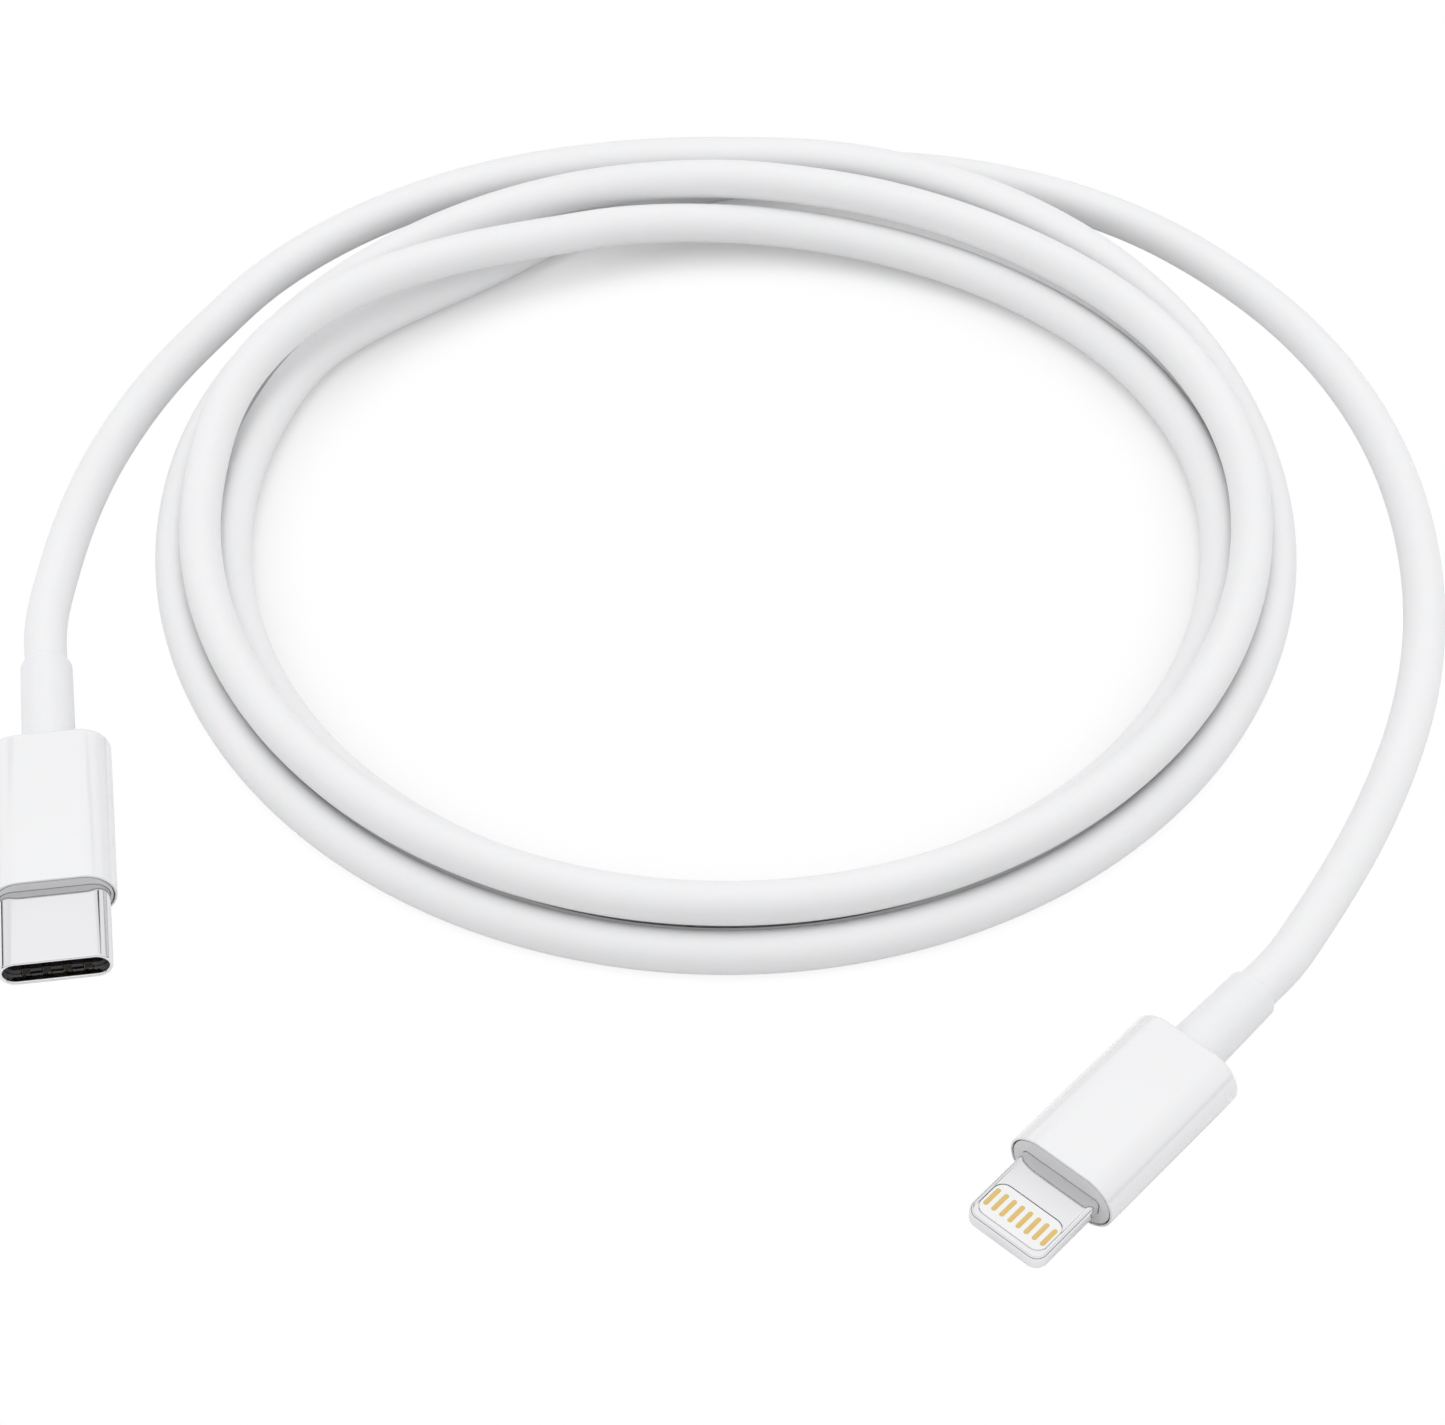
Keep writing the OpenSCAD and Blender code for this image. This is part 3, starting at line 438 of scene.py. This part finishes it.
def make_relief(name, plug, node):
    """A tapered sleeve turned about the cord: its radius grows evenly from a round shoulder to the housing,
    and its end is open for the cord."""
    tip, shoulder, lip = -plug["len"] - plug["relief"], 0.32, 0.06
    bore, end_r, base_r = CORD_D / 2 + FINE_GAP, RELIEF_TIP_D / 2, plug["relief_d"] / 2
    sunk, come_in = quarter_round(shoulder, 9)
    share = np.array((0.3, 0.6, 0.9, 1.0))
    root, bore_depth = -plug["len"] + 0.3, 1.2
    profile = np.vstack(((tip + bore_depth, bore), (tip + lip, bore), (tip, bore + lip),
                         np.column_stack((tip + come_in, end_r - shoulder + sunk)),
                         np.column_stack((tip + shoulder + (plug["relief"] - shoulder) * share,
                                          end_r + (base_r - end_r) * share)),
                         (root, base_r), (root, bore)))
    points, faces = loft(lathe(profile), loop=True)
    return piece(name, [(placed(points, plug), faces)], "relief_white", (node,))


# ---------------------------------------------------------------- the oval plug
def make_shell():
    """The drawn metal shell: its wall's section, a slot outline drawn in by 0 to the wall's thickness, runs
    along the axis and closes in front in a half round lip."""
    r = SHELL_WALL / 2
    a = np.radians(np.linspace(0, 180, 11))
    lip = np.column_stack((SHELL_OUT - r + r * np.sin(a), r - r * np.cos(a)))
    profile = np.vstack(((-SHELL_IN, 0), lip, (-SHELL_IN, SHELL_WALL)))
    points, faces = loft(slot_rings(SHELL_W, SHELL_H, profile), loop=True)
    piece("oval_metal_shell", [(placed(points, OVAL), faces)], "polished_steel", ("oval_shell",))


def shell_hole(grow):
    """The shell's outline in Y and Z with a fine gap, for the plate round it."""
    wider = 2 * (FINE_GAP + grow)
    return slot_outline(SHELL_W + wider, SHELL_H + wider)


# ---------------------------------------------------------------- the tab plug
def tab_hole(grow):
    """The tab's outline in Y and Z with a fine gap, with as many points as a plate's outer edge."""
    wider = FINE_GAP + grow
    w, t, r = TAB_W + 2 * wider, TAB_T + 2 * wider, TAB_EDGE_R + wider
    return round_box(-w / 2, w / 2, t, r, r, n=len(slot_guide()[0]) // 4)


def window_outline(grow):
    """The window in the tab's face, wider by grow on all sides."""
    half = WINDOW_LEN / 2
    return round_box(WINDOW_X - half, WINDOW_X + half, WINDOW_W, WINDOW_R, WINDOW_R, -grow)


def make_tab():
    """The metal tab: its outline sinks and comes out along a quarter circle at the upper edge, and the
    same back in at the lower edge. Its two faces have a window with a fine bevel."""
    floor_z, bevel, back_r, half = 0.45, 0.03, 0.45, TAB_T / 2
    sunk, come_in = quarter_round(TAB_EDGE_R, 9)
    z, inset = half - come_in, TAB_EDGE_R - sunk
    levels = [*zip(z, inset), *zip(-z[::-1], inset[::-1])]
    faces_in = [(floor_z, 0), (half - bevel, 0), (half, bevel)]
    rings = [level(window_outline(grow), z) for z, grow in faces_in]
    rings += [level(round_box(-PLATE_T, TAB_OUT, TAB_W, TAB_CORNER_R, back_r, inset), z)
              for z, inset in levels]
    rings += [level(window_outline(grow), -z) for z, grow in faces_in[::-1]]
    points, faces = loft(np.array(rings))
    return piece("tab_metal", [(placed(points, TAB), faces)], "polished_steel", ("tab_frame",))


def make_carrier():
    """The white plastic in the window on both faces: the window's outline, a fine gap smaller, with a
    bevel. It starts inside the tab and ends just under the metal's face."""
    gap, bevel, foot, lid = 0.05, 0.04, 0.3, TAB_T / 2 - 0.03
    forms = []
    for side in (1, -1):
        rings = [level(window_outline(-gap - inset), side * z)
                 for z, inset in ((foot, 0), (lid - bevel, 0), (lid, bevel))]
        points, faces = loft(np.array(rings))
        forms.append((placed(points, TAB), faces))
    return piece("tab_carrier", forms, "carrier_white", ("tab_insulator",))


def make_pads(name, side, node):
    """One row of contact pads: slot outlines along X at an even pitch across Y, with a fine bevel. side is
    1 above and -1 below."""
    bevel, foot, top = 0.03, 0.5, TAB_T / 2 - 0.008
    rings = np.array([level(slot_outline(PAD_LEN - 2 * inset, PAD_W - 2 * inset, 10, 2), side * z)
                      for z, inset in ((foot, 0), (top - bevel, 0), (top, bevel))])
    forms = []
    for y in (np.arange(TAB_COUNT) - (TAB_COUNT - 1) / 2) * TAB_PITCH:
        points, faces = loft(rings + (WINDOW_X, y, 0))
        forms.append((placed(points, TAB), faces))
    return piece(name, forms, "gold", (node,))


# ---------------------------------------------------------------- CAD nodes that stay
def dress_cad_nodes():
    """The other CAD nodes keep their shape and get the finish of their material slot."""
    slots = {s["node"]: s["material_slot"] for s in frame["record"]["subparts"]}
    for name, node in frame["nodes"].items():
        if not node.hide_render:
            node.data.materials.clear()
            node.data.materials.append(MATERIALS[slots[name]])


# ---------------------------------------------------------------- studio
# Place from straight down, 0, to straight up, 1, and the light that comes from there
SOFT_LIGHT = ((0.0, 0.66), (0.5, 0.66), (0.75, 0.77), (1.0, 0.86))
LAMPS_IN_METAL = ((0.0, 0.9), (0.5, 0.9), (0.503, 0.03), (0.56, 0.04), (0.6, 0.5), (0.65, 0.9), (0.775, 0.9),
                  (0.85, 0.86), (0.895, 0.88), (0.912, 1.0), (1.0, 1.03))
# The two dark cards, by the direction's Y, by its X to either side, and by the place from straight down to
# straight up: each pair is a soft edge, from none of the darkness to all of it
CARD_BEHIND = (0.3, 0.5)
CARD_ASIDE = ((0.22, 0.3), (0.54, 0.46))
CARD_HEIGHT = ((0.775, 0.793), (0.85, 0.835))
CARD_DARKNESS = 0.95
# The floor's shade: where it fades out inside the coil and outside it, how far and where it is drawn in on
# the far side, and its share of the matt floor
SHADE_INSIDE = (INNER_R - 7, INNER_R - 0.5)
SHADE_OUTSIDE = (COIL_R + 1.9, COIL_R - 1.5)
SHADE_FAR_SIDE, SHADE_DRAWN_IN = (5, 32), 3.4
SHADE_SHARE = 0.8
FLOOR_SEEN, FLOOR_LIT = 0.93, 0.74


def smooth_share(tree, value, start, end, most=1.0):
    """0 before start and most after end, with a smooth step between them."""
    share = add(tree, "ShaderNodeMapRange", interpolation_type="SMOOTHSTEP")
    share.inputs["From Min"].default_value = start
    share.inputs["From Max"].default_value = end
    share.inputs["To Max"].default_value = most
    tree.links.new(value, share.inputs["Value"])
    return share.outputs["Result"]


def combined(tree, operation, a, b):
    """The two values put together by one operation."""
    node = add(tree, "ShaderNodeMath", operation=operation)
    tree.links.new(a, node.inputs[0])
    tree.links.new(b, node.inputs[1])
    return node.outputs["Value"]


def make_world():
    """Soft light from all sides that grows towards the zenith. Polished faces show the studio's lamps, a
    dark horizon and two dark cards, high up behind the object on the left and right: there the light is 1
    less the darkness times the soft shares of the card's edges. Seen directly it is plain white."""
    world = bpy.data.worlds.new("studio")
    bpy.context.scene.world = world
    world.use_nodes = True
    tree = world.node_tree
    tree.nodes.clear()
    link = tree.links.new
    split = add(tree, "ShaderNodeSeparateXYZ")
    link(add(tree, "ShaderNodeTexCoord").outputs["Generated"], split.inputs["Vector"])
    height = add(tree, "ShaderNodeMapRange")
    height.inputs["From Min"].default_value = -1.0
    link(split.outputs["Z"], height.inputs["Value"])
    ramps = []
    for stops in (SOFT_LIGHT, LAMPS_IN_METAL):
        ramp = add(tree, "ShaderNodeValToRGB")
        while len(ramp.color_ramp.elements) < len(stops):
            ramp.color_ramp.elements.new(0.5)
        for element, (place, value) in zip(ramp.color_ramp.elements, stops):
            element.position = place
            element.color = (value, value, value * 1.01, 1)
        link(height.outputs["Result"], ramp.inputs["Fac"])
        light = add(tree, "ShaderNodeBackground", Strength=1.0)
        link(ramp.outputs["Color"], light.inputs["Color"])
        ramps.append(light.outputs["Background"])
    aside = add(tree, "ShaderNodeMath", operation="ABSOLUTE")
    link(split.outputs["X"], aside.inputs[0])
    card = smooth_share(tree, split.outputs["Y"], *CARD_BEHIND)
    for value, edges in ((aside.outputs["Value"], CARD_ASIDE), (height.outputs["Result"], CARD_HEIGHT)):
        for edge in edges:
            card = combined(tree, "MULTIPLY", card, smooth_share(tree, value, *edge))
    dimmed = add(tree, "ShaderNodeMath", operation="MULTIPLY_ADD")
    link(card, dimmed.inputs[0])
    dimmed.inputs[1].default_value, dimmed.inputs[2].default_value = -CARD_DARKNESS, 1.0
    link(dimmed.outputs["Value"], light.inputs["Strength"])
    plain = add(tree, "ShaderNodeBackground", Color=(1, 1, 1, 1), Strength=1.0)
    rays = add(tree, "ShaderNodeLightPath").outputs
    gloss = add(tree, "ShaderNodeMixShader")
    link(rays["Is Glossy Ray"], gloss.inputs["Fac"])
    link(ramps[0], gloss.inputs[1])
    link(ramps[1], gloss.inputs[2])
    choose = add(tree, "ShaderNodeMixShader")
    link(rays["Is Camera Ray"], choose.inputs["Fac"])
    link(gloss.outputs["Shader"], choose.inputs[1])
    link(plain.outputs["Background"], choose.inputs[2])
    link(choose.outputs["Shader"], add(tree, "ShaderNodeOutputWorld").inputs["Surface"])


def add_lamp(name, at, size, power, aim=(10, 40, 0)):
    """A soft square lamp at a place in millimetres, turned towards aim."""
    data = bpy.data.lights.new(name, "AREA")
    data.size, data.energy = size * MM, power
    lamp = bpy.data.objects.new(name, data)
    lamp.location = [c * MM for c in at]
    direction = lamp.location.copy()
    direction.x, direction.y, direction.z = ((a - b) * MM for a, b in zip(aim, at))
    lamp.rotation_euler = direction.to_track_quat("-Z", "Y").to_euler()
    lamp.visible_glossy = False
    bpy.context.scene.collection.objects.link(lamp)


def make_floor():
    """A white surface. It shows its shade under the coil's turns, fading inwards, and in polished faces,
    and is plain elsewhere. The fade goes by the distance from the coil's middle, which grows on the far side
    by the drawn-in length times a soft share of Y."""
    half, below = 1500.0, 0.01
    mesh = bpy.data.meshes.new("floor")
    corners = ((-1, -1), (1, -1), (1, 1), (-1, 1))
    mesh.from_pydata([(x * half * MM, y * half * MM, -below * MM) for x, y in corners], [], [(0, 1, 2, 3)])
    floor = bpy.data.objects.new("floor", mesh)
    bpy.context.scene.collection.objects.link(floor)
    material = bpy.data.materials.new("floor_white")
    material.use_nodes = True
    tree = material.node_tree
    tree.nodes.clear()
    link = tree.links.new
    place = add(tree, "ShaderNodeTexCoord").outputs["Object"]
    from_coil = add(tree, "ShaderNodeVectorMath", operation="SUBTRACT")
    from_coil.inputs[1].default_value = (COIL_AT[0] * MM, COIL_AT[1] * MM, 0)
    link(place, from_coil.inputs[0])
    stretched = add(tree, "ShaderNodeVectorMath", operation="MULTIPLY")
    stretched.inputs[1].default_value = (1, 1 / FLATTENED, 1)
    link(from_coil.outputs["Vector"], stretched.inputs[0])
    radius = add(tree, "ShaderNodeVectorMath", operation="LENGTH")
    link(stretched.outputs["Vector"], radius.inputs[0])
    split = add(tree, "ShaderNodeSeparateXYZ")
    link(stretched.outputs["Vector"], split.inputs["Vector"])
    drawn_in = add(tree, "ShaderNodeMath", operation="MULTIPLY_ADD")
    far_side = smooth_share(tree, split.outputs["Y"], *(y * MM for y in SHADE_FAR_SIDE))
    link(far_side, drawn_in.inputs[0])
    drawn_in.inputs[1].default_value = SHADE_DRAWN_IN * MM
    link(radius.outputs["Value"], drawn_in.inputs[2])
    fading_in = smooth_share(tree, drawn_in.outputs["Value"], *(r * MM for r in SHADE_INSIDE), SHADE_SHARE)
    fading_out = smooth_share(tree, radius.outputs["Value"], *(r * MM for r in SHADE_OUTSIDE))
    shaded = combined(tree, "MULTIPLY", fading_in, fading_out)
    matt = add(tree, "ShaderNodeBsdfDiffuse", Color=(FLOOR_SEEN, FLOOR_SEEN, FLOOR_SEEN, 1))
    plain = add(tree, "ShaderNodeEmission", Color=(1, 1, 1, 1), Strength=1.0)
    seen = add(tree, "ShaderNodeMixShader")
    link(plain.outputs["Emission"], seen.inputs[1])
    link(matt.outputs["BSDF"], seen.inputs[2])
    rays = add(tree, "ShaderNodeLightPath").outputs
    link(combined(tree, "MAXIMUM", shaded, rays["Is Glossy Ray"]), seen.inputs["Fac"])
    direct = combined(tree, "MAXIMUM", rays["Is Camera Ray"], rays["Is Glossy Ray"])
    direct = combined(tree, "MAXIMUM", direct, rays["Is Transmission Ray"])
    choose = add(tree, "ShaderNodeMixShader")
    link(direct, choose.inputs["Fac"])
    bounced = add(tree, "ShaderNodeBsdfDiffuse", Color=(FLOOR_LIT, FLOOR_LIT, FLOOR_LIT, 1))
    link(bounced.outputs["BSDF"], choose.inputs[1])
    link(seen.outputs["Shader"], choose.inputs[2])
    link(choose.outputs["Shader"], add(tree, "ShaderNodeOutputMaterial").inputs["Surface"])
    mesh.materials.append(material)


# ---------------------------------------------------------------- the scene
bpy.context.scene.view_settings.view_transform = "Standard"
make_camera()
cord, centre_line = make_cord()
make_housing("oval_body", OVAL, "oval_housing")
make_plate("oval_plate", OVAL, shell_hole, "oval_front_plate")
make_relief("oval_sleeve", OVAL, "oval_strain_relief")
make_shell()
tab_pieces = [
    make_housing("tab_body", TAB, "tab_housing"),
    make_plate("tab_plate", TAB, tab_hole, "tab_front_plate"),
    make_relief("tab_sleeve", TAB, "tab_strain_relief"),
    make_tab(),
    make_carrier(),
    make_pads("tab_pads_upper", 1, "tab_contacts_upper"),
    make_pads("tab_pads_lower", -1, "tab_contacts_lower"),
]
dress_cad_nodes()
make_world()
add_lamp("top_lamp", (10, 140, 600), 340, 0.6)
add_lamp("left_lamp", (-420, 60, 240), 300, 0.3)
add_lamp("right_lamp", (440, 60, 240), 300, 0.3)
make_floor()
